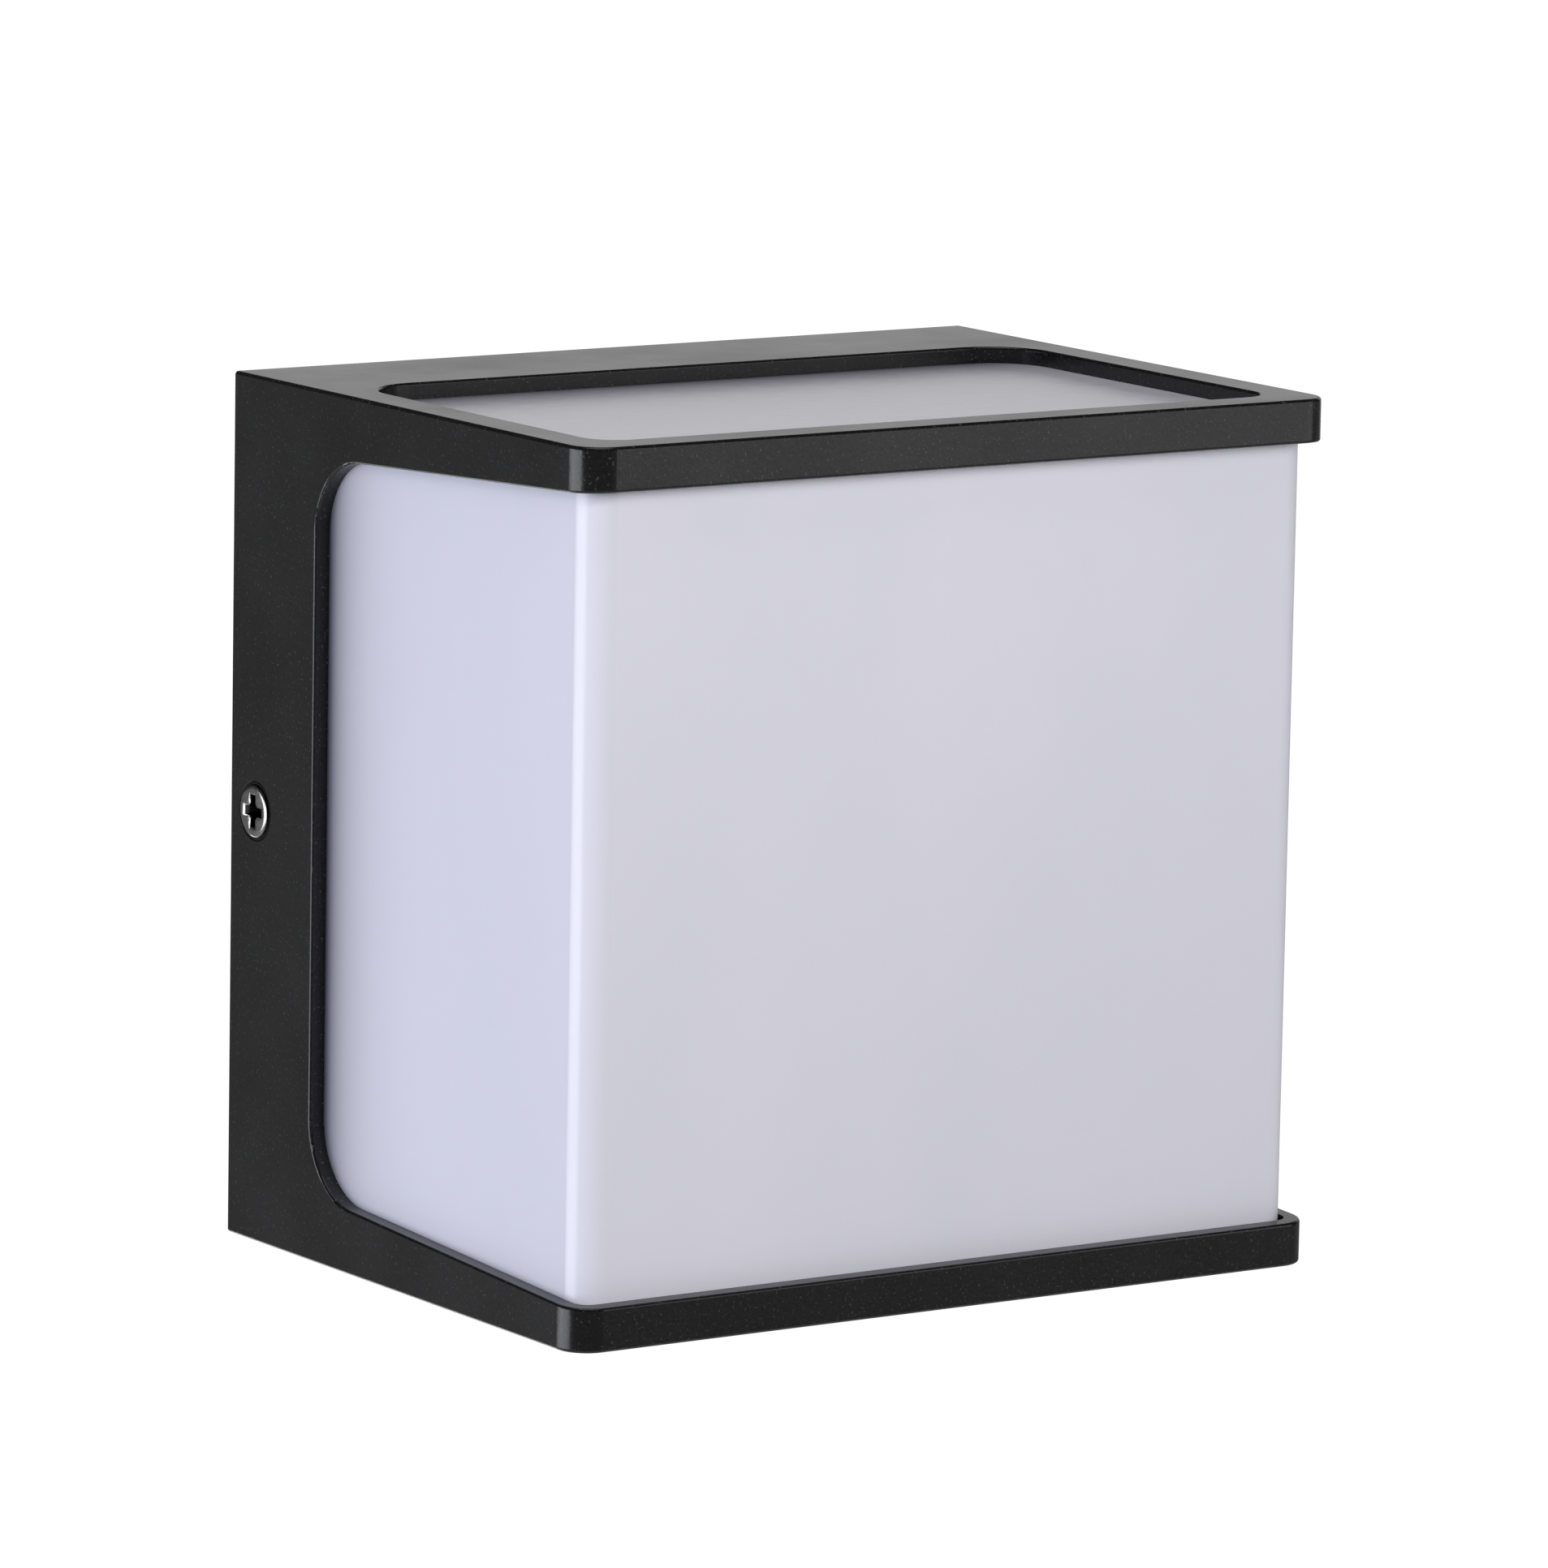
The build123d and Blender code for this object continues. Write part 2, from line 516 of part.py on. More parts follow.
# ---------------------------------------------------------------- leads and terminals
def make_mains_lead(index, pole_x, turns):
    """A lead from the driver's left end, back through the tray and up into a pole of the terminal block."""
    x, z = GROMMET_LEADS[index]
    points = [(-25, DRIVER_LEAD_Y, DRIVER_LEAD_Z[index]), (x, DRIVER_LEAD_Y, DRIVER_LEAD_Z[index]),
              (x, DRIVER_LEAD_Y, z), (x, TERMINAL_LEAD_Y, z), (pole_x, TERMINAL_LEAD_Y, z),
              (pole_x, TERMINAL_LEAD_Y, TERMINAL_Z[0] + 5)]
    return lead(points, turns)


def make_led_lead(index, corner_x, corner_y):
    """A lead from the driver's right end, round and forward through the LED board to its connector."""
    x, z = BOARD_LEADS[index]
    points = [(25, DRIVER_LEAD_Y, DRIVER_LEAD_Z[index]), (corner_x, DRIVER_LEAD_Y, DRIVER_LEAD_Z[index]),
              (corner_x, corner_y, z), (x, corner_y - 1.5, z), (x, -BOARD_FRONT - 2.5, z)]
    return lead(points, (4, 4, 3.5))


def make_earth_ring():
    x, z = EARTH_AT
    rear = PAD_REAR - 0.8
    axis_y = -(PAD_REAR - EARTH_BARREL_RADIUS)
    ring = pin(3.6, EARTH_AT, rear, PAD_REAR)
    ring += block((EARTH_BARREL[1] - 1, x), (-PAD_REAR, -rear), (z - 1.5, z + 1.5))
    ring += rod(EARTH_BARREL_RADIUS, (EARTH_BARREL[0], axis_y, z), (EARTH_BARREL[1], axis_y, z))
    ring -= rod(LEAD_RADIUS + 0.05, (EARTH_BARREL[0] - 1, axis_y, z), (EARTH_BARREL[1] - 1.5, axis_y, z))
    return ring - pin(1.6, EARTH_AT, 0, PAD_REAR + 1)


def make_earth_lead():
    axis_y = -(PAD_REAR - EARTH_BARREL_RADIUS)
    z = EARTH_AT[1]
    points = [(EARTH_BARREL[1] - 2.5, axis_y, z), (POLES[2], axis_y, z),
              (POLES[2], TERMINAL_LEAD_Y, z + 8), (POLES[2], TERMINAL_LEAD_Y, TERMINAL_Z[0] + 5)]
    return lead(points, (3.5, 6))


def make_terminal_block():
    half = POLE_PITCH * 1.6
    middle = sum(TERMINAL_Z) / 2
    body = block((-half, half), (-PAD_REAR, -TERMINAL_REAR), TERMINAL_Z)
    body = fillet(body.edges().filter_by(Axis.Z), 1.0)
    for x in POLES:
        body -= block((x - CLAMP_CHANNEL, x + CLAMP_CHANNEL),
                      (TERMINAL_LEAD_Y - CLAMP_CHANNEL, TERMINAL_LEAD_Y + CLAMP_CHANNEL),
                      (TERMINAL_Z[0] - 1, TERMINAL_Z[1] + 1))
        for z in CLAMP_SCREW_Z:
            body -= pin(1.9, (x, z), TERMINAL_REAR - 1, -TERMINAL_LEAD_Y)
    for x in TERMINAL_FIX_X:
        body -= pin(1.5, (x, middle), TERMINAL_REAR - 1, PAD_REAR + 1)
        body -= pin(2.2, (x, middle), TERMINAL_REAR - 1, TERMINAL_REAR + 3)
    return body


def make_terminal_clamps():
    clamps = []
    for x in POLES:
        clamp = block((x - CLAMP_HALF, x + CLAMP_HALF),
                      (TERMINAL_LEAD_Y - CLAMP_HALF, TERMINAL_LEAD_Y + CLAMP_HALF),
                      (TERMINAL_Z[0] + 1, TERMINAL_Z[1] - 1))
        lower, upper = [(x, TERMINAL_LEAD_Y, z) for z in TERMINAL_Z]
        clamp -= rod(LEAD_RADIUS + FIT_GAP, lower, upper)
        for z in CLAMP_SCREW_Z:
            clamp -= pin(1.35, (x, z), 0, -TERMINAL_LEAD_Y)
        clamps.append(clamp)
    return Compound(clamps)


def make_terminal_screws():
    """The clamping screws: short pins that reach down to the wire, slotted on top."""
    screws = []
    top = TERMINAL_REAR + 1.2
    for x in POLES:
        for z in CLAMP_SCREW_Z:
            screw = pin(1.25, (x, z), top, -TERMINAL_LEAD_Y - LEAD_RADIUS - 0.05)
            screw += pin(1.7, (x, z), top, top + 1.4)
            screw -= block((x - 2, x + 2), (-top - 0.7, -top + 1), (z - 0.3, z + 0.3))
            screws.append(screw)
    return Compound(screws)


def make_terminal_fixing_screws():
    screw = pan_head_screw(M3_RADIUS * 0.8, 9.0, 2.0, 1.6)
    middle = sum(TERMINAL_Z) / 2
    return set_screws([(x, middle) for x in TERMINAL_FIX_X], screw, TERMINAL_REAR + 3, facing=1)


def make_earth_screw():
    screw = pan_head_screw(M3_RADIUS * 0.8, 3.2, 2.7, 1.8)
    return set_screws([EARTH_AT], screw, PAD_REAR - 0.8, facing=1)


# ---------------------------------------------------------------- the assembly
def make_parts():
    parts = {
        "housing": make_housing(),
        "diffuser": make_diffuser(),
        "diffuser_gasket": make_diffuser_gasket(),
        "rear_tray": make_rear_tray(),
        "tray_screws": make_tray_screws(),
        "lead_grommet": make_lead_grommet(),
        "wall_bracket": make_wall_bracket(),
        "wall_gasket": make_wall_gasket(),
        "cable_grommet": make_cable_grommet(),
        "gear_cover": make_gear_cover(),
        "cover_screws": make_cover_screws(),
        "led_board": make_led_board(),
        "led_chips": make_led_chips(),
        "led_board_screws": make_board_screws(),
        "led_connector": make_led_connector(),
        "driver_case": make_driver_case(),
        "driver_lid": make_driver_lid(),
        "driver_board": make_driver_board(),
        "driver_transformer": make_driver_transformer(),
        "driver_capacitors": make_driver_capacitors(),
        "driver_choke": make_driver_choke(),
        "driver_screws": make_driver_screws(),
        "lead_live": make_mains_lead(0, POLES[0], (3.5, 5, 4, 4)),
        "lead_neutral": make_mains_lead(1, POLES[1], (3.5, 5, 4, 4)),
        "lead_positive": make_led_lead(0, 34, -33),
        "lead_negative": make_led_lead(1, 37, -38),
        "terminal_block": make_terminal_block(),
        "terminal_clamps": make_terminal_clamps(),
        "terminal_screws": make_terminal_screws(),
        "terminal_fixing_screws": make_terminal_fixing_screws(),
        "earth_lead": make_earth_lead(),
        "earth_ring": make_earth_ring(),
        "earth_screw": make_earth_screw(),
    }
    for side, name in SIDES:
        parts[f"side_screw_{name}"] = make_side_screw(side)
        parts[f"screw_seal_{name}"] = make_screw_seal(side)
    return parts


def write_parts():
    os.makedirs("parts", exist_ok=True)
    for name, part in make_parts().items():
        export_step(part, f"parts/{name}.step")


write_parts()
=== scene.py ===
import json
from math import cos, pi, radians, sin, tau

import bmesh
import bpy
from mathutils import Matrix, Vector


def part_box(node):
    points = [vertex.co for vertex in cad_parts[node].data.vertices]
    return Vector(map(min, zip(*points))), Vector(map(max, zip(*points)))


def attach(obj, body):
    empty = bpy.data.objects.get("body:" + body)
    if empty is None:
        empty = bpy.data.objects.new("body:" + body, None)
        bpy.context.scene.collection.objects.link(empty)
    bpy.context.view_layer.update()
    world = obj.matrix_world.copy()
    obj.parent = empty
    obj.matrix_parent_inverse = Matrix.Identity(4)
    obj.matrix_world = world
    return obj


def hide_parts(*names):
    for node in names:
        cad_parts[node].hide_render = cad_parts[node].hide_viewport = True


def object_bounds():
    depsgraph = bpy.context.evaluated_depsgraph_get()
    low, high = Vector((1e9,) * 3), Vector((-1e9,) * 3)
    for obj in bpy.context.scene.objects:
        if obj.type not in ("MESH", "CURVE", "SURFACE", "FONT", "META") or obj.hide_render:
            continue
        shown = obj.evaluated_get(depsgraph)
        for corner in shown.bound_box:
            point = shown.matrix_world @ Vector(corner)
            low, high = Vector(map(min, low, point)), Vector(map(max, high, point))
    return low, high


# The looks of a square outdoor wall lantern, in metres and in the CAD's frame: X to the right as
# seen from the front, the front towards -Y, Z up, and the wall at Y = 0.

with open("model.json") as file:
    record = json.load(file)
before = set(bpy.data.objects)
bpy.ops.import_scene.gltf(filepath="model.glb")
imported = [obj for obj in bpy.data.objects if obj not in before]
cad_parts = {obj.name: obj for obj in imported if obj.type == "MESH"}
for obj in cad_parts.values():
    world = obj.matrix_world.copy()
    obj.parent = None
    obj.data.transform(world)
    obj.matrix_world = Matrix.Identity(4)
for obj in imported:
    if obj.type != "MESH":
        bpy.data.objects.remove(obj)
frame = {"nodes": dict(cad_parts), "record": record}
cad_low, cad_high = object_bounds()
nodes = frame["nodes"]
MM = 0.001

NOISE_SPAN = (0.3, 0.7)         # nearly all of a noise's values lie between these
EDGE_SAMPLES = 4                # of the shader that rounds sharp edges

# The opal diffuser's painted shade: darker towards the closed part of the housing.
CLOSED_DEPTH = 22 * MM          # from the wall to the housing's side openings
SHADE_LENGTH = 5.5 * MM         # over which the shade falls to about a third
SHADE_STRENGTH = 0.94

# A side screw, along its own Z: out of the housing, from 0 at the housing's face.
HOUSING_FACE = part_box("housing")[1].x
SCREW_SEGMENTS = 72
SCREW_TOP = 0.46 * MM           # how far the head stands out of the housing
EDGE_TOP = 0.10 * MM            # where the head's turned edge ends and its rounded rim starts
EDGE_INSET = 0.08 * MM
RIM_WIDTH = 0.8 * MM
RIM_HEIGHT = 0.3 * MM
HEAD_STEPS = 12                 # rings over the rim, and over the crown inside it
HEAD_EDGE = (                   # height, and distance inside the head's full radius
    (-0.16 * MM, 0.16 * MM),
    (-0.05 * MM, 0.02 * MM),
    (0.03 * MM, 0.0),
    (EDGE_TOP, EDGE_INSET),
)
SHANK_RADIUS = 2.0 * MM
NECK_RADIUS = 1.75 * MM
NECK_LENGTH = 0.8 * MM
RUN_OUT = 0.1 * MM              # plain stretch between the thread and the neck
TIP_RADIUS = 0.9 * MM
TIP_CHAMFER = 0.5 * MM
THREAD_PITCH = 0.7 * MM
THREAD_ROOT = 1.62 * MM
THREAD_CREST = 1.98 * MM
CREST_END = 5 / 64              # shares of the pitch, from the middle of the crest
ROOT_START = 25 / 64
STEPS_PER_PITCH = 10
LIP_DEPTH = 0.13 * MM           # of the pressed lip round the cross recess
RECESS_WITHIN = 2.7 * MM        # of the axis: what is deep and nearer than this is the recess
INNER_CORNER = 1.7              # where the cross's inner corners are cut off, in half widths
CROSS_SIZES = (                 # height, half length and half width of the cross recess
    (SCREW_TOP - 2.0 * MM, 1.25 * MM, 0.36 * MM),
    (SCREW_TOP - LIP_DEPTH, 2.35 * MM, 0.66 * MM),
    (SCREW_TOP + 0.05 * MM, 2.85 * MM, 1.16 * MM),
)
SMOOTH_ANGLE = 40               # degrees: sharper edges stay sharp

CAMERA_AZIMUTH = -33.63
CAMERA_ELEVATION = 9.47
CAMERA_ROLL = 1.016
CAMERA_DISTANCE = 1.428
CAMERA_ASIDE = 0.02467          # how far the aim lies right of the origin
CAMERA_RAISED = -0.00184        # and above it
CAMERA_LENS = 233.1
CAMERA_NEAR = 0.05

FILL_STRENGTH = 0.05            # of the world's light
FLOOR_HALF = 30.0
FLOOR_DROP = 0.80               # from the lantern's lowest point to the floor
FLOOR_SEEN = 1.0                # the floor's own light, as the camera sees it
FLOOR_LIGHT = 0.14              # and as the lantern gets it


# ---------------------------------------------------------------- a material and its detail
class Surface:
    """A Principled material whose detail comes from noise, in the metres of the piece it is on."""

    def __init__(self, name, color, roughness, sockets=None):
        self.material = bpy.data.materials.new(name)
        self.material.use_nodes = True
        self.tree = self.material.node_tree
        self.shader = self.tree.nodes["Principled BSDF"]
        self.shader.inputs["Base Color"].default_value = (*color, 1)
        self.shader.inputs["Roughness"].default_value = roughness
        for socket, value in (sockets or {}).items():
            self.shader.inputs[socket].default_value = value
        self.place = self.node("TexCoord").outputs["Object"]
        self.normal = None

    def node(self, kind, inputs=None, **settings):
        """A new shader node, with values or links on its inputs."""
        made = self.tree.nodes.new("ShaderNode" + kind)
        for key, value in settings.items():
            setattr(made, key, value)
        for key, value in (inputs or {}).items():
            self.feed(made.inputs[key], value)
        return made

    def feed(self, socket, value):
        """Links a socket to another node's output, or sets its value."""
        if isinstance(value, bpy.types.NodeSocket):
            self.tree.links.new(value, socket)
        else:
            socket.default_value = value

    def stretched(self, stretch):
        """The place, with each axis drawn out by its factor."""
        scale = [1 / factor for factor in stretch]
        return self.node("Mapping", {"Vector": self.place, "Scale": scale}).outputs["Vector"]

    def noise(self, size, detail=2.0, stretch=None):
        """Cloudy noise from 0 to 1, whose patches are about a size across."""
        place = self.stretched(stretch) if stretch else self.place
        inputs = {"Vector": place, "Scale": 1 / size, "Detail": detail}
        return self.node("TexNoise", inputs).outputs["Fac"]

    def cells(self, size, feature="F1", output="Distance"):
        """Cells of a size: the distance from each cell's middle, or its own colour."""
        inputs = {"Vector": self.place, "Scale": 1 / size}
        return self.node("TexVoronoi", inputs, feature=feature).outputs[output]

    def ramp(self, value, start, end, low=0.0, high=1.0):
        """Maps start..end of a value to low..high, and clamps it."""
        inputs = {"Value": value, "From Min": start, "From Max": end, "To Min": low, "To Max": high}
        return self.node("MapRange", inputs).outputs["Result"]

    def math(self, operation, *values):
        return self.node("Math", dict(enumerate(values)), operation=operation).outputs[0]

    def mix(self, factor, a, b):
        """Between two colours, each a socket or three numbers."""
        made = self.node("Mix", {"Factor": factor}, data_type="RGBA")
        for socket, value in (("A_Color", a), ("B_Color", b)):
            target = next(entry for entry in made.inputs if entry.identifier == socket)
            self.feed(target, value if isinstance(value, bpy.types.NodeSocket) else (*value, 1))
        return next(entry for entry in made.outputs if entry.identifier == "Result_Color")

    def axis(self, name, vector=None):
        """One coordinate of a vector, or of the place."""
        return self.node("SeparateXYZ", {0: vector or self.place}).outputs[name]

    def off_axis(self):
        """The distance of the place from the Z axis."""
        flat = self.node("VectorMath", {0: self.place, 1: (1, 1, 0)}, operation="MULTIPLY")
        length = self.node("VectorMath", {0: flat.outputs[0]}, operation="LENGTH")
        return length.outputs["Value"]

    def color(self, socket):
        self.feed(self.shader.inputs["Base Color"], socket)

    def roughness(self, pattern, low, high, span=NOISE_SPAN):
        """Low to high roughness over the span of a pattern's values."""
        self.feed(self.shader.inputs["Roughness"], self.ramp(pattern, *span, low, high))

    def soften_edges(self, radius):
        """Rounds the shading of sharp edges, so that they catch the light."""
        inputs = {"Radius": radius}
        self.normal = self.node("Bevel", inputs, samples=EDGE_SAMPLES).outputs["Normal"]

    def bump(self, height, depth):
        """Adds relief: height 0..1 becomes that depth in metres."""
        inputs = {"Height": height, "Distance": depth, "Strength": 1.0}
        if self.normal:
            inputs["Normal"] = self.normal
        self.normal = self.node("Bump", inputs).outputs["Normal"]

    def done(self):
        if self.normal:
            self.feed(self.shader.inputs["Normal"], self.normal)
        return self.material


def toned(color, factor, lift=0.0):
    """A colour made lighter or darker by a factor, and lifted a little."""
    return [min(1, channel * factor + lift) for channel in color]


def powder_coat():
    """Semi-gloss black powder coat: a fine grain, a faint orange peel and a few paler grains, partly pale
    specks in the coat and partly painted glints.
    """
    coat = Surface("powder_coat", (0.005, 0.005, 0.005), 0.24)
    grain = coat.noise(0.42 * MM, detail=2)
    peel = coat.noise(1.8 * MM, detail=1)
    fine = coat.mix(coat.ramp(grain, 0.35, 0.65), (0.003, 0.003, 0.003), (0.0075, 0.0075, 0.0078))
    # paler grains: partly specks in the coat, partly painted glints of light off the grain
    pale_grains_and_glints = coat.ramp(coat.noise(0.38 * MM, detail=0), 0.70, 0.80)
    coat.color(coat.mix(pale_grains_and_glints, fine, (0.04, 0.04, 0.04)))
    coat.roughness(coat.noise(18 * MM, detail=3), 0.20, 0.265)
    coat.bump(peel, 0.012 * MM)
    coat.bump(grain, 0.015 * MM)
    return coat.done()


def opal():
    """Satin opal polycarbonate, with painted shade: its colour is darkened where it stands in the closed
    part of the housing, and a little way out of it, where the housing keeps the light off it."""
    milk = Surface("opal", (0.78, 0.77, 0.86), 0.3)
    flow = milk.noise(26 * MM, detail=2, stretch=(1, 1, 2.2))
    body = milk.mix(milk.ramp(flow, *NOISE_SPAN), (0.775, 0.767, 0.853), (0.80, 0.79, 0.875))
    out_of_housing = milk.math("SUBTRACT", -CLOSED_DEPTH, milk.axis("Y"))
    depth = milk.math("DIVIDE", milk.math("MAXIMUM", out_of_housing, 0.0), SHADE_LENGTH)
    shade = milk.math("EXPONENT", milk.math("MULTIPLY", depth, -1.0))
    # painted shade: the opal's colour falls towards a dark blue-grey near the housing's closed part
    milk.color(milk.mix(milk.math("MULTIPLY", shade, SHADE_STRENGTH), body, (0.05, 0.047, 0.08)))
    milk.roughness(milk.noise(3 * MM, detail=3), 0.215, 0.265)
    milk.bump(milk.noise(9 * MM, detail=1), 0.010 * MM)
    return milk.done()


def rubber(name, color, roughness=0.7, specular=0.15):
    """Moulded rubber: matt, faintly dusty, with a mould-grain texture."""
    skin = Surface(name, color, roughness, {"Specular IOR Level": specular})
    dust = skin.noise(4 * MM, detail=4)
    skin.color(skin.mix(skin.ramp(dust, 0.45, 0.75), color, toned(color, 1.3, lift=0.004)))
    skin.roughness(skin.noise(1.2 * MM), roughness - 0.08, roughness + 0.1)
    skin.soften_edges(0.12 * MM)
    skin.bump(skin.noise(0.3 * MM, detail=2), 0.02 * MM)
    return skin.done()


def foam():
    """Closed-cell foam: fine pores of mixed sizes."""
    cell = Surface("foam", (0.035, 0.035, 0.035), 0.85)
    large = cell.cells(0.7 * MM)
    fine = cell.cells(0.32 * MM)
    cell.color(cell.mix(cell.ramp(large, 0.1, 0.55), (0.014, 0.014, 0.014), (0.05, 0.05, 0.052)))
    cell.roughness(fine, 0.95, 0.75, span=(0.0, 0.6))
    cell.bump(large, 0.16 * MM)
    cell.bump(fine, 0.07 * MM)
    return cell.done()


def cast_aluminium():
    """As-cast and shot-blasted: dull grey, dimpled, with cloudy flow marks."""
    cast = Surface("cast_aluminium", (0.56, 0.56, 0.57), 0.5, {"Metallic": 1.0})
    cloud = cast.noise(14 * MM, detail=4)
    blast = cast.cells(0.45 * MM, feature="SMOOTH_F1")
    cast.color(cast.mix(cast.ramp(cloud, 0.3, 0.72), (0.47, 0.47, 0.48), (0.63, 0.63, 0.635)))
    cast.roughness(cloud, 0.44, 0.6)
    cast.soften_edges(0.3 * MM)
    cast.bump(blast, 0.026 * MM)
    cast.bump(cast.noise(0.16 * MM, detail=2), 0.010 * MM)
    return cast.done()


def zinc_plated(name, color, cloud_size):
    """Bright zinc over steel: rolling lines, faint spangle and a blue-and-yellow passivation tint."""
    zinc = Surface(name, color, 0.3, {"Metallic": 1.0})
    warm = [color[0] * 1.01, color[1] * 1.0, color[2] * 0.965]
    cool = [color[0] * 0.97, color[1] * 0.99, color[2] * 1.02]
    tinted = zinc.mix(zinc.ramp(zinc.noise(cloud_size, detail=2), 0.35, 0.65), cool, warm)
    spangle = zinc.axis("X", zinc.cells(cloud_size * 0.3, output="Color"))
    zinc.color(zinc.mix(zinc.ramp(spangle, 0, 1, 0, 0.10), tinted, (0.80, 0.81, 0.83)))
    zinc.roughness(zinc.noise(cloud_size * 0.4, detail=3), 0.29, 0.36)
    zinc.soften_edges(0.18 * MM)
    zinc.bump(zinc.noise(0.22 * MM, detail=3, stretch=(60, 1, 1)), 0.006 * MM)
    zinc.bump(zinc.noise(1.1 * MM, detail=3), 0.010 * MM)
    return zinc.done()


def stainless():
    """Turned stainless steel with handling marks, and painted shade down in its cross recess and round its
    rim.
    It goes by the screw's own Z, which runs out of the housing from 0 at the housing's face."""
    steel = Surface("stainless", (0.40, 0.40, 0.39), 0.2, {"Metallic": 1.0})
    marks = steel.noise(0.9 * MM, detail=4)
    turned = steel.mix(steel.ramp(marks, 0.4, 0.75), (0.42, 0.415, 0.41), (0.33, 0.325, 0.32))
    above = steel.axis("Z")
    # painted shade: near-black colour down in the cross recess and round the head's rim, where shade falls
    painted_shade_from = SCREW_TOP - LIP_DEPTH - 0.05 * MM
    deep = steel.ramp(above, painted_shade_from - 0.10 * MM, painted_shade_from, 1.0, 0.0)
    inside = steel.ramp(steel.off_axis(), RECESS_WITHIN, RECESS_WITHIN + 0.1 * MM, 1.0, 0.0)
    recess = steel.math("MULTIPLY", deep, inside)
    below_rim_top = steel.ramp(above, 0.17 * MM, 0.25 * MM, 1.0, 0.0)
    above_seal = steel.ramp(above, -0.25 * MM, -0.15 * MM)
    rim = steel.math("MULTIPLY", below_rim_top, above_seal)
    # the painted shade of the recess and the rim, mixed into the steel's colour
    steel.color(steel.mix(steel.math("MAXIMUM", recess, rim), turned, (0.012, 0.012, 0.012)))
    steel.roughness(steel.noise(0.5 * MM, detail=3), 0.17, 0.25)
    steel.bump(steel.noise(0.25 * MM, detail=3), 0.003 * MM)
    return steel.done()


def painted_sheet():
    """White powder coat on sheet steel, with a light orange peel."""
    sheet = Surface("white_sheet", (0.82, 0.82, 0.80), 0.38)
    cloud = sheet.noise(20 * MM, detail=2)
    sheet.color(sheet.mix(cloud, (0.80, 0.80, 0.785), (0.85, 0.85, 0.835)))
    sheet.roughness(sheet.noise(2 * MM), 0.32, 0.45)
    sheet.soften_edges(0.2 * MM)
    sheet.bump(sheet.noise(1.3 * MM, detail=1), 0.015 * MM)
    sheet.bump(sheet.noise(0.35 * MM, detail=1), 0.004 * MM)
    return sheet.done()


def moulded(name, color, roughness=0.42, translucency=0.0, edge=0.15 * MM):
    """Injection-moulded plastic with a fine spark-eroded texture."""
    inside = {"Subsurface Weight": translucency, "Subsurface Scale": 1.2 * MM}
    plastic = Surface(name, color, roughness, inside)
    flow = plastic.ramp(plastic.noise(9 * MM, detail=3), *NOISE_SPAN)
    plastic.color(plastic.mix(flow, toned(color, 0.93), toned(color, 1.05)))
    plastic.roughness(plastic.noise(0.6 * MM), roughness - 0.07, roughness + 0.08)
    plastic.soften_edges(edge)
    plastic.bump(plastic.noise(0.18 * MM, detail=2), 0.008 * MM)
    return plastic.done()


def solder_mask(name, color, trace):
    """Printed circuit: glossy mask, with the copper tracks faintly raised under it."""
    board = Surface(name, color, 0.28, {"Coat Weight": 0.3})
    tracks = board.node("TexBrick", {"Vector": board.place, "Scale": 1 / (12 * MM)}).outputs["Fac"]
    board.color(board.mix(board.ramp(tracks, 0, 1, 0, 0.35), color, trace))
    board.roughness(board.noise(1.5 * MM, detail=3), 0.28, 0.38)
    board.bump(tracks, 0.03 * MM)
    board.bump(board.noise(0.4 * MM, detail=1), 0.003 * MM)
    return board.done()


def phosphor():
    """Grainy yellow phosphor gel on the LEDs."""
    chip = Surface("led_phosphor", (0.85, 0.66, 0.12), 0.3)
    grain = chip.noise(0.1 * MM, detail=2)
    chip.color(chip.mix(grain, (0.80, 0.56, 0.06), (0.92, 0.74, 0.2)))
    chip.roughness(grain, 0.28, 0.42)
    chip.bump(grain, 0.01 * MM)
    return chip.done()


def ferrite():
    """Sintered ferrite: dark grey, matt and grainy."""
    core = Surface("ferrite", (0.05, 0.05, 0.052), 0.5)
    core.color(core.mix(core.noise(0.4 * MM, detail=4), (0.035, 0.035, 0.035), (0.08, 0.08, 0.085)))
    core.roughness(core.noise(0.8 * MM), 0.4, 0.6)
    core.soften_edges(0.2 * MM)
    core.bump(core.noise(0.3 * MM, detail=3), 0.03 * MM)
    return core.done()


def insulation(name, color, stripe=None):
    """PVC insulation: slightly glossy and faintly rippled; the earth lead has a stripe."""
    skin = Surface(name, color, 0.34, {"Coat Weight": 0.15})
    wear = skin.noise(2.5 * MM, detail=3)
    base = skin.mix(skin.ramp(wear, 0.4, 0.7), color, toned(color, 1.25, lift=0.005))
    if stripe:
        side = skin.axis("Y", skin.node("TexCoord").outputs["Normal"])
        base = skin.mix(skin.ramp(side, 0.30, 0.36), base, stripe)
    skin.color(base)
    skin.roughness(skin.noise(0.8 * MM), 0.28, 0.44)
    skin.bump(skin.noise(1.2 * MM, detail=2), 0.03 * MM)
    return skin.done()


def bright_metal(name, color, dull):
    """Drawn and sawn metal: fine draw lines and patches of tarnish."""
    metal = Surface(name, color, 0.3, {"Metallic": 1.0})
    patch = metal.noise(1.6 * MM, detail=4)
    metal.color(metal.mix(metal.ramp(patch, 0.4, 0.7), color, dull))
    metal.roughness(patch, 0.28, 0.44)
    metal.soften_edges(0.12 * MM)
    metal.bump(metal.noise(0.12 * MM, detail=2, stretch=(1, 1, 30)), 0.006 * MM)
    return metal.done()


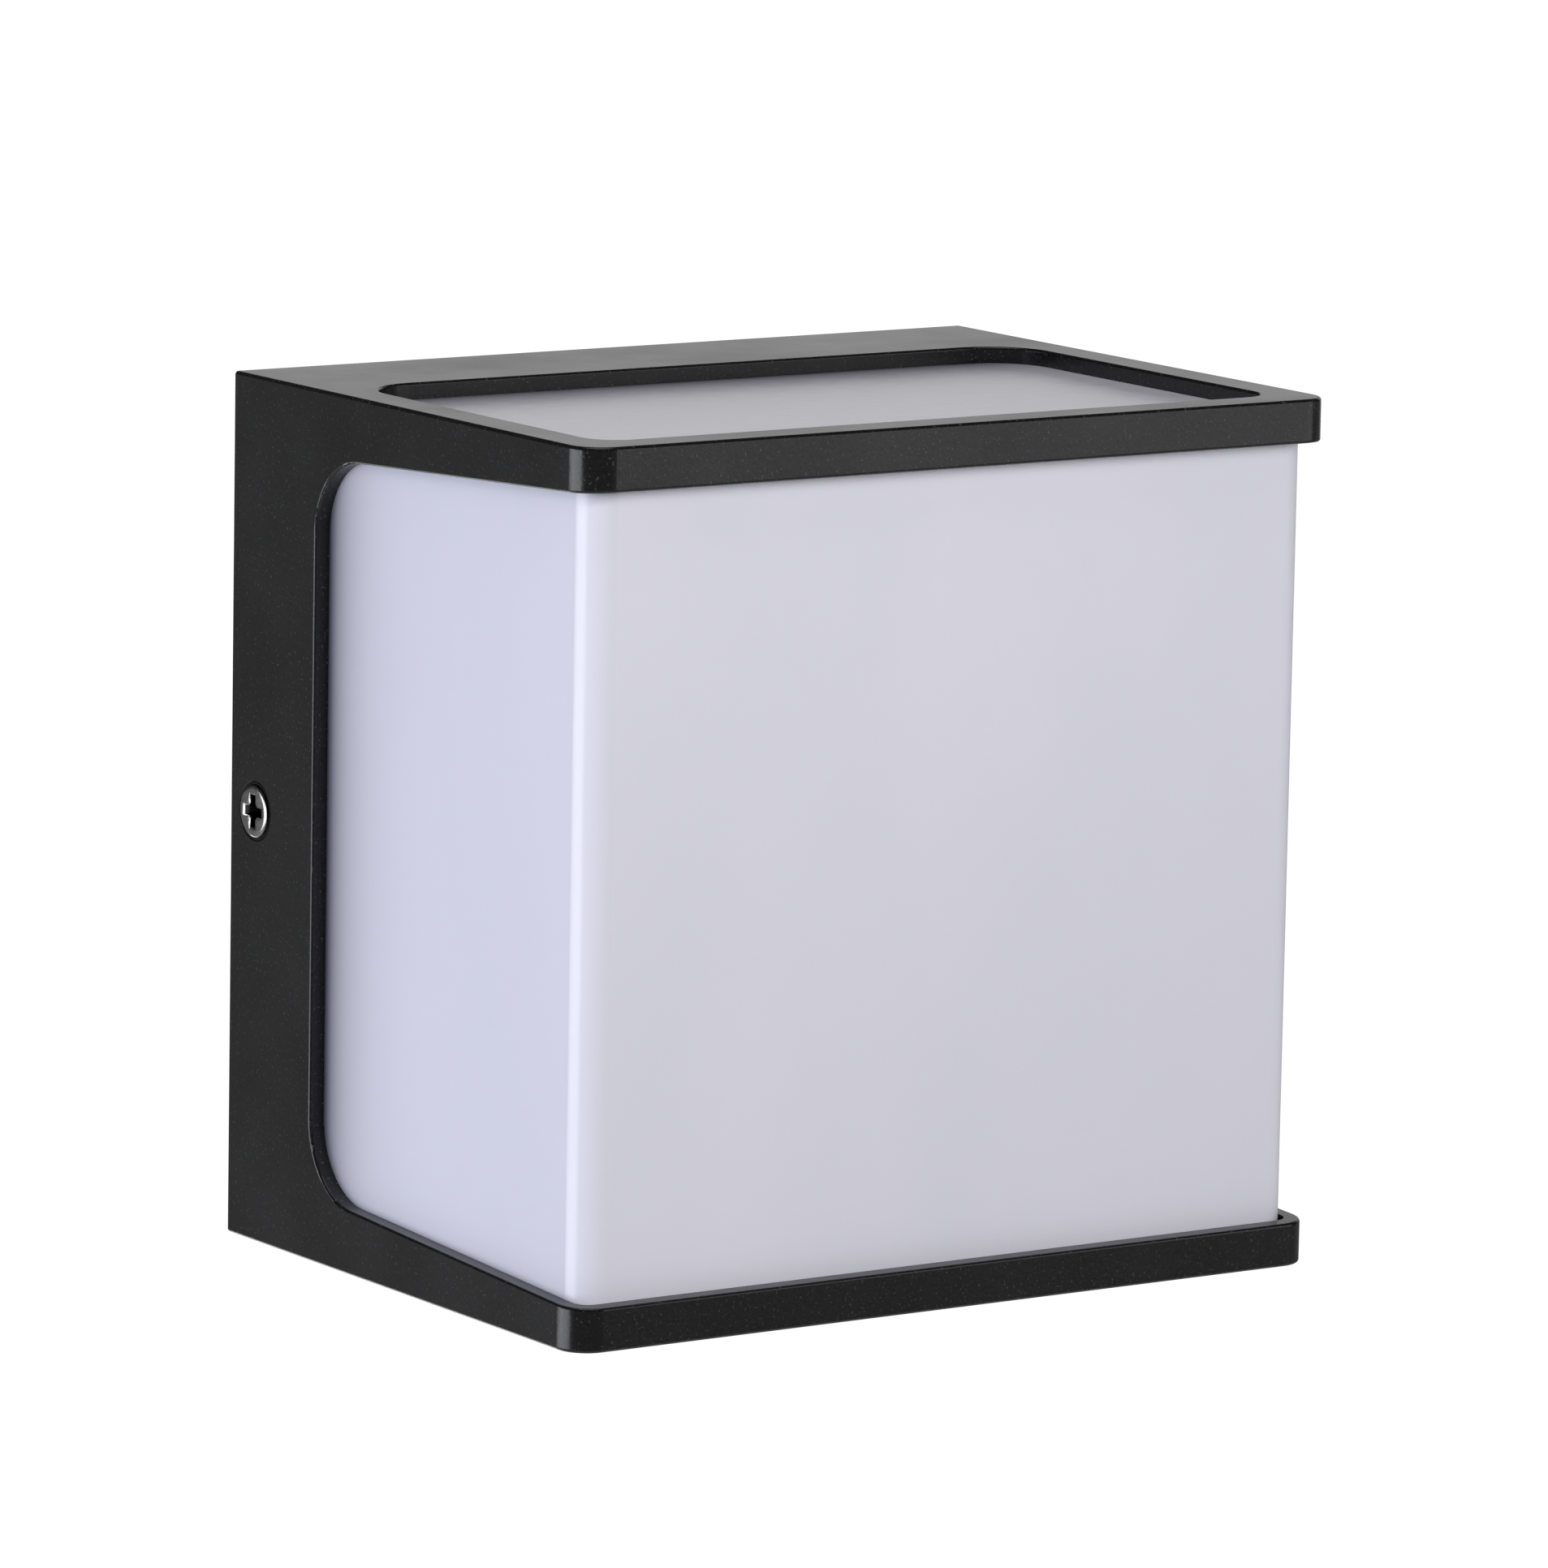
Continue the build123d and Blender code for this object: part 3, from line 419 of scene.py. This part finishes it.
def make_materials():
    """Every material slot of the record, and its material."""
    zinc = (0.66, 0.67, 0.69)
    earth_yellow = (0.75, 0.62, 0.05)
    return {
        "powder_coat": powder_coat(),
        "opal": opal(),
        "silicone": rubber("silicone", (0.72, 0.72, 0.72), roughness=0.4, specular=0.5),
        "black_rubber": rubber("black_rubber", (0.008, 0.008, 0.009)),
        "foam": foam(),
        "cast_aluminium": cast_aluminium(),
        "zinc_plated_sheet": zinc_plated("zinc_plated_sheet", zinc, 9 * MM),
        "white_sheet": painted_sheet(),
        "stainless": stainless(),
        "zinc_plated_screw": zinc_plated("zinc_plated_screw", zinc, 2 * MM),
        "white_solder_mask": solder_mask("white_solder_mask", (0.84, 0.84, 0.82), (0.76, 0.77, 0.74)),
        "led_phosphor": phosphor(),
        "white_nylon": moulded("white_nylon", (0.80, 0.79, 0.74), translucency=0.2, edge=0.25 * MM),
        "driver_plastic": moulded("driver_plastic", (0.78, 0.78, 0.77)),
        "circuit_board": solder_mask("circuit_board", (0.03, 0.17, 0.06), (0.06, 0.26, 0.1)),
        "ferrite": ferrite(),
        "capacitor_sleeve": moulded("capacitor_sleeve", (0.02, 0.035, 0.11), roughness=0.3),
        "brown_insulation": insulation("brown_insulation", (0.12, 0.045, 0.018)),
        "blue_insulation": insulation("blue_insulation", (0.02, 0.10, 0.42)),
        "red_insulation": insulation("red_insulation", (0.5, 0.02, 0.02)),
        "black_insulation": insulation("black_insulation", (0.02, 0.02, 0.02)),
        "earth_insulation": insulation("earth_insulation", (0.05, 0.30, 0.05), stripe=earth_yellow),
        "brass": bright_metal("brass", (0.72, 0.50, 0.20), (0.48, 0.31, 0.12)),
        "tinned_copper": bright_metal("tinned_copper", (0.70, 0.69, 0.66), (0.55, 0.53, 0.50)),
    }


def paint(piece, material):
    piece.data.materials.clear()
    piece.data.materials.append(material)


# ---------------------------------------------------------------- mesh building
def grid_mesh(rings):
    """A mesh from rings of points, each ring joined to the next, and the end rings capped."""
    mesh = bmesh.new()
    rows = [[mesh.verts.new(point) for point in ring] for ring in rings]
    for here, there in zip(rows, rows[1:]):
        for index in range(len(here)):
            after = (index + 1) % len(here)
            mesh.faces.new((here[index], here[after], there[after], there[index]))
    mesh.faces.new(list(reversed(rows[0])))
    mesh.faces.new(rows[-1])
    bmesh.ops.recalc_face_normals(mesh, faces=mesh.faces)
    return mesh


def to_object(mesh, name):
    """A scene object made of a mesh that was built."""
    data = bpy.data.meshes.new(name)
    mesh.to_mesh(data)
    mesh.free()
    made = bpy.data.objects.new(name, data)
    bpy.context.scene.collection.objects.link(made)
    return made


def cut_out(made, cutter):
    """Cuts a cutter's shape out of an object's mesh, and removes the cutter."""
    cut = made.modifiers.new("recess", "BOOLEAN")
    cut.operation = "DIFFERENCE"
    cut.object = cutter
    cut.solver = "EXACT"
    graph = bpy.context.evaluated_depsgraph_get()
    mesh = bpy.data.meshes.new_from_object(made.evaluated_get(graph))
    made.modifiers.clear()
    made.data = mesh
    bpy.data.objects.remove(cutter)


def smooth(made, angle):
    """Smooth shading, but for edges sharper than an angle in degrees."""
    made.data.shade_smooth()
    made.data.set_sharp_from_angle(angle=radians(angle))


# ---------------------------------------------------------------- the side screws
def screw_point(segment, radius, height):
    angle = tau * segment / SCREW_SEGMENTS
    return (radius * cos(angle), radius * sin(angle), height)


def screw_ring(height, radius):
    return [screw_point(segment, radius, height) for segment in range(SCREW_SEGMENTS)]


def thread_radius(height, segment, fade):
    """The radius of a thread that winds once round in a pitch, faded towards its root."""
    share = (height / THREAD_PITCH - segment / SCREW_SEGMENTS) % 1.0
    flank = (ROOT_START - abs(share - 0.5)) / (ROOT_START - CREST_END)
    flank = min(1.0, max(0.0, flank))
    return THREAD_ROOT + (THREAD_CREST - THREAD_ROOT) * flank * fade


def thread_rings(bottom, top):
    """Rings whose radius follows a helix, so that together they make a real screw thread."""
    count = round((top - bottom) / THREAD_PITCH * STEPS_PER_PITCH)
    rings = []
    for step in range(count + 1):
        height = bottom + (top - bottom) * step / count
        fade = min(1.0, (height - bottom) / THREAD_PITCH, (top - height) / THREAD_PITCH)
        radii = [thread_radius(height, segment, fade) for segment in range(SCREW_SEGMENTS)]
        rings.append([screw_point(segment, radius, height) for segment, radius in enumerate(radii)])
    return rings


def shank_rings(tip, neck):
    """From the chamfered tip, along the thread, to the neck under the head."""
    thread_bottom = tip + TIP_CHAMFER + RUN_OUT / 2
    thread_top = neck - NECK_LENGTH - RUN_OUT
    rings = [screw_ring(tip, TIP_RADIUS), screw_ring(tip + TIP_CHAMFER, THREAD_ROOT)]
    rings += thread_rings(thread_bottom, thread_top)
    rings += [screw_ring(neck - NECK_LENGTH, THREAD_ROOT), screw_ring(neck, NECK_RADIUS)]
    return rings


def head_rings(head_radius):
    """From the countersunk head's turned edge, over its rounded rim, to its low crown."""
    rings = [screw_ring(height, head_radius - inset) for height, inset in HEAD_EDGE]
    rim_radius = head_radius - EDGE_INSET
    for step in range(1, HEAD_STEPS + 1):
        angle = step / HEAD_STEPS * pi / 2
        height = EDGE_TOP + RIM_HEIGHT * sin(angle)
        rings.append(screw_ring(height, rim_radius - RIM_WIDTH * (1 - cos(angle))))
    crown_radius = rim_radius - RIM_WIDTH
    rise = SCREW_TOP - EDGE_TOP - RIM_HEIGHT
    for step in range(1, HEAD_STEPS):
        share = 1 - step / HEAD_STEPS
        rings.append(screw_ring(SCREW_TOP - rise * share ** 2, crown_radius * share))
    return rings


def cross_ring(height, half_length, half_width):
    """The outline of a cross, with its inner corners cut off."""
    inner = INNER_CORNER * half_width
    arm = [(half_length, -half_width), (half_length, half_width), (inner, half_width), (half_width, inner)]
    ring = []
    for quarter in range(4):
        turn = Matrix.Rotation(quarter * pi / 2, 2)
        for corner in arm:
            turned = turn @ Vector(corner)
            ring.append((turned.x, turned.y, height))
    return ring


def cross_cutter():
    """A cross recess: it narrows with depth, and has a shallow pressed lip all round."""
    return to_object(grid_mesh([cross_ring(*size) for size in CROSS_SIZES]), "cross_cutter")


def side_screw(side, name, steel):
    """An M4 raised countersunk screw: turned head with a cross recess, rolled thread on its shank."""
    low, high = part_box(f"side_screw_{name}")
    middle = (low + high) / 2
    head_radius = (high.z - low.z) / 2
    cad_top = (high.x if side > 0 else -low.x) - HOUSING_FACE
    tip = cad_top - (high.x - low.x)
    neck = SHANK_RADIUS - head_radius
    rings = shank_rings(tip, neck) + head_rings(head_radius)
    screw = to_object(grid_mesh(rings), f"side_screw_{name}_threaded")
    cut_out(screw, cross_cutter())
    smooth(screw, SMOOTH_ANGLE)
    paint(screw, steel)
    screw.matrix_world = Matrix((
        (0, 0, side, side * HOUSING_FACE),
        (side, 0, 0, middle.y),
        (0, 1, 0, middle.z),
        (0, 0, 0, 1),
    ))
    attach(screw, f"{name}_screw")
    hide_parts(f"side_screw_{name}")


# ---------------------------------------------------------------- camera, light and stage
def make_camera():
    azimuth = radians(CAMERA_AZIMUTH)
    elevation = radians(CAMERA_ELEVATION)
    roll = radians(CAMERA_ROLL)
    back = Vector((sin(azimuth) * cos(elevation), -cos(azimuth) * cos(elevation), sin(elevation)))
    level_right = (-back).cross(Vector((0, 0, 1))).normalized()
    level_up = level_right.cross(-back)
    right = cos(roll) * level_right + sin(roll) * level_up
    up = -sin(roll) * level_right + cos(roll) * level_up
    data = bpy.data.cameras.new("camera")
    data.lens = CAMERA_LENS
    data.clip_start = CAMERA_NEAR
    camera = bpy.data.objects.new("camera", data)
    place = CAMERA_ASIDE * right + CAMERA_RAISED * up + CAMERA_DISTANCE * back
    camera.matrix_world = Matrix.Translation(place) @ Matrix((right, up, back)).transposed().to_4x4()
    bpy.context.scene.collection.objects.link(camera)
    bpy.context.scene.camera = camera


def softbox(name, azimuth, elevation, distance, size, brightness, color=(1, 1, 1), mirrored=True):
    """A rectangular studio light facing the lantern, of a given brightness as seen from it. Azimuth
    0 is straight in front and 90 to the right. One that isn't mirrored only lights: it doesn't
    show in anything's gloss."""
    around = radians(azimuth)
    above = radians(elevation)
    towards = Vector((sin(around) * cos(above), -cos(around) * cos(above), sin(above)))
    data = bpy.data.lights.new(name, "AREA")
    data.shape = "RECTANGLE"
    data.size, data.size_y = size
    data.energy = brightness * pi * size[0] * size[1]
    data.color = color
    light = bpy.data.objects.new(name, data)
    light.location = (cad_low + cad_high) / 2 + towards * distance
    light.rotation_euler = towards.to_track_quat("Z", "Y").to_euler()
    light.visible_camera = False
    light.visible_glossy = mirrored
    bpy.context.scene.collection.objects.link(light)


def make_lights():
    """Soft lights all round. Three of them only light, and don't show in the gloss, so that no face
    burns out in views from other sides."""
    softbox("left_rear", -110, -7, 1.2, (1.0, 0.62), 3.45, (0.94, 0.95, 1.0))
    softbox("left_blue", -95, 0, 1.2, (0.8, 0.8), 0.62, (0.0, 0.25, 1.0), mirrored=False)
    softbox("front_left", -30, 25, 0.9, (0.9, 0.46), 4.25, mirrored=False)
    softbox("overhead", 0, 88, 1.3, (0.9, 0.9), 1.55)
    softbox("right_front", 42, 8, 1.3, (0.8, 0.8), 1.1)
    softbox("right", 88, -12, 1.2, (0.8, 0.8), 2.4, mirrored=False)
    softbox("backdrop", 135, 10, 1.6, (1.5, 0.9), 0.58)
    softbox("low_rear", 180, -36, 1.2, (0.7, 0.5), 2.0)


def make_world():
    """White to the camera, and a faint white fill for the lantern."""
    world = bpy.data.worlds.new("studio")
    bpy.context.scene.world = world
    world.use_nodes = True
    tree = world.node_tree
    tree.nodes.clear()
    output = tree.nodes.new("ShaderNodeOutputWorld")
    choose = tree.nodes.new("ShaderNodeMixShader")
    seen = tree.nodes.new("ShaderNodeLightPath")
    fill = tree.nodes.new("ShaderNodeBackground")
    fill.inputs["Color"].default_value = (1, 1, 1, 1)
    fill.inputs["Strength"].default_value = FILL_STRENGTH
    white = tree.nodes.new("ShaderNodeBackground")
    white.inputs["Color"].default_value = (1, 1, 1, 1)
    tree.links.new(seen.outputs["Is Camera Ray"], choose.inputs["Fac"])
    tree.links.new(fill.outputs[0], choose.inputs[1])
    tree.links.new(white.outputs[0], choose.inputs[2])
    tree.links.new(choose.outputs[0], output.inputs["Surface"])


def make_floor():
    """A plain pale floor, well below the lantern and lit from within, as a light table is. It is
    see-through from below, so that it doesn't hide the lantern there."""
    mesh = bmesh.new()
    bmesh.ops.create_grid(mesh, x_segments=2, y_segments=2, size=FLOOR_HALF)
    floor = to_object(mesh, "floor")
    floor.location.z = cad_low.z - FLOOR_DROP
    paper = Surface("floor_paper", (0.9, 0.9, 0.9), 0.8, {"Emission Color": (1, 1, 1, 1)})
    paper.color(paper.mix(paper.noise(0.5, detail=3), (0.89, 0.89, 0.89), (0.91, 0.91, 0.91)))
    seen = paper.node("LightPath").outputs["Is Camera Ray"]
    glow = paper.ramp(seen, 0, 1, FLOOR_LIGHT, FLOOR_SEEN)
    paper.feed(paper.shader.inputs["Emission Strength"], glow)
    from_below = paper.node("NewGeometry").outputs["Backfacing"]
    paper.feed(paper.shader.inputs["Alpha"], paper.ramp(from_below, 0, 1, 1.0, 0.0))
    floor.data.materials.append(paper.done())


# ---------------------------------------------------------------- the scene
materials = make_materials()
for part in frame["record"]["subparts"]:
    paint(nodes[part["node"]], materials[part["material_slot"]])
side_screw(-1, "left", materials["stainless"])
side_screw(1, "right", materials["stainless"])
make_camera()
make_lights()
make_world()
make_floor()
bpy.context.scene.view_settings.view_transform = "Standard"
